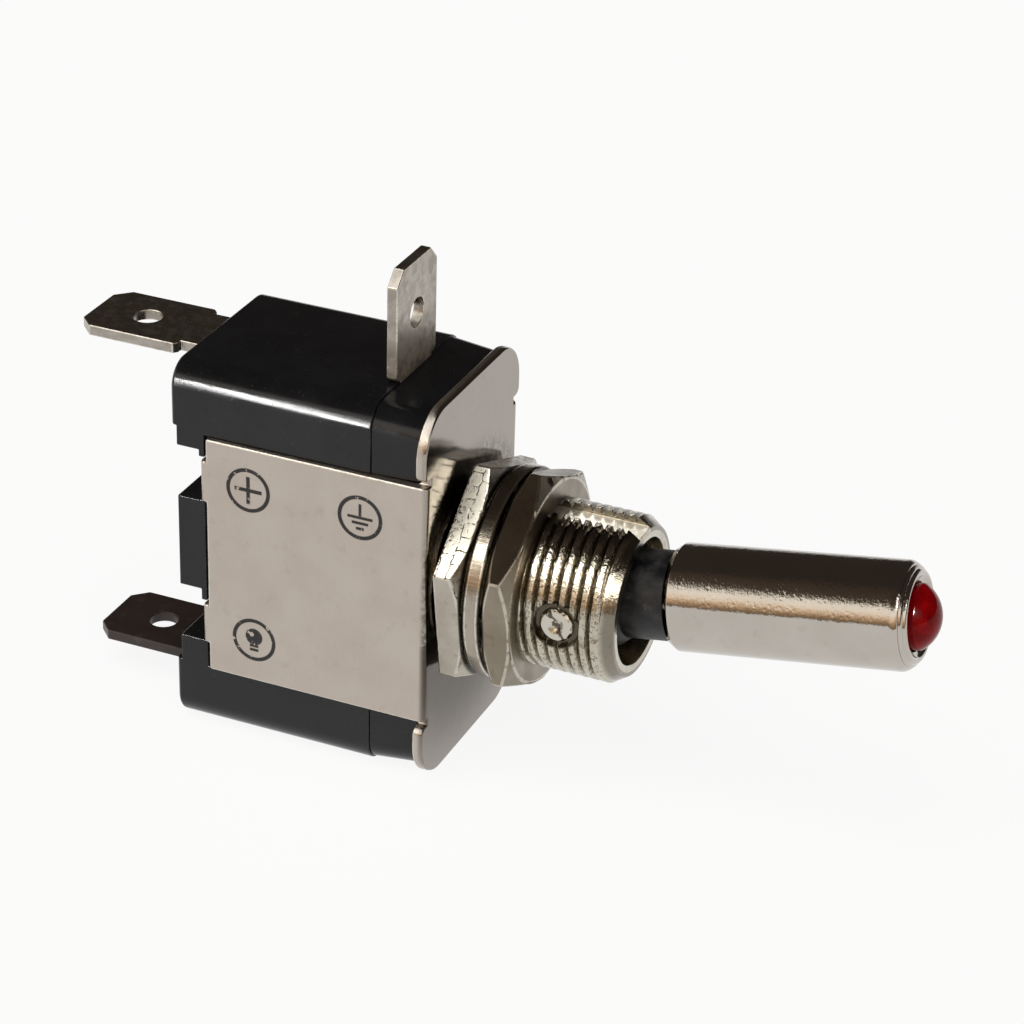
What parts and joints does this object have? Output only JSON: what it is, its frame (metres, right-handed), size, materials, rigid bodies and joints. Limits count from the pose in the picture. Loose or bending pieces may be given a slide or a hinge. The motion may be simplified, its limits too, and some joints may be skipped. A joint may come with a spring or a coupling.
{
  "type": "illuminated toggle switch",
  "caption": "Panel-mount toggle switch with a red lamp in the lever's tip, a threaded bushing, a folded steel bracket and push-on blade tabs.",
  "frame": {"origin": "where the axis of the lever's pivot pin crosses the axis of the threaded bushing", "axes": "+X along the bushing towards the lever, +Z towards the upright earth tab in the plane of the lever's swing, +Y across the switch"},
  "size_m": [0.0631, 0.016, 0.0364],
  "materials": {
    "black_moulding": "moulded black plastic with a light sheen",
    "black_stem": "satin black plastic",
    "bracket_plate": "satin nickel plate over steel",
    "bright_nickel": "bright nickel plate over brass",
    "pin_steel": "bright plated pin with staked ends",
    "sleeve_chrome": "polished chrome",
    "red_lens": "clear red moulded lens",
    "tinned_wire": "tinned wire",
    "resistor_body": "lacquered resistor body",
    "plunger_brass": "turned brass",
    "spring_steel": "spring wire",
    "contact_brass": "stamped brass",
    "contact_silver": "silver contact rivet",
    "terminal_plate": "nickel-plated brass strip"
  },
  "bodies": {
    "body": {"housing": "black_moulding", "front_insulator": "black_moulding", "bracket": "bracket_plate", "bushing": "bright_nickel", "pivot_pin": "pin_steel", "inner_nut": "bright_nickel", "dress_washer": "bright_nickel", "outer_nut": "bright_nickel", "power_terminal": "terminal_plate", "load_terminal": "terminal_plate", "earth_terminal": "terminal_plate", "fixed_contact": "contact_silver"},
    "lever": {"lever_stem": "black_stem", "lever_sleeve": "sleeve_chrome", "lamp_lens": "red_lens", "lamp_lead_long": "tinned_wire", "lamp_lead_short": "tinned_wire", "resistor": "resistor_body", "plunger_spring": "spring_steel"},
    "plunger": {"plunger": "plunger_brass"},
    "rocker": {"rocker": "contact_brass", "moving_contact": "contact_silver"}
  },
  "joints": [
    {"name": "lever_swing", "type": "hinge", "parent": "body", "child": "lever", "pos_m": [0, 0, 0], "axis": [0, 1, 0], "range_deg": [0, 18.4]},
    {"name": "rocker_tip", "type": "hinge", "parent": "body", "child": "rocker", "pos_m": [-0.0209, 0, 0], "axis": [0, 1, 0], "range_deg": [-12, 0]},
    {"name": "plunger_slide", "type": "slide", "parent": "lever", "child": "plunger", "axis": [0.9871, 0, 0.1599], "range_m": [0, 0.0012], "stiffness_N_per_m": 200}
  ],
  "couplings": [
    {"joint": "rocker_tip", "follows": "lever_swing", "ratio": -0.65}
  ]
}
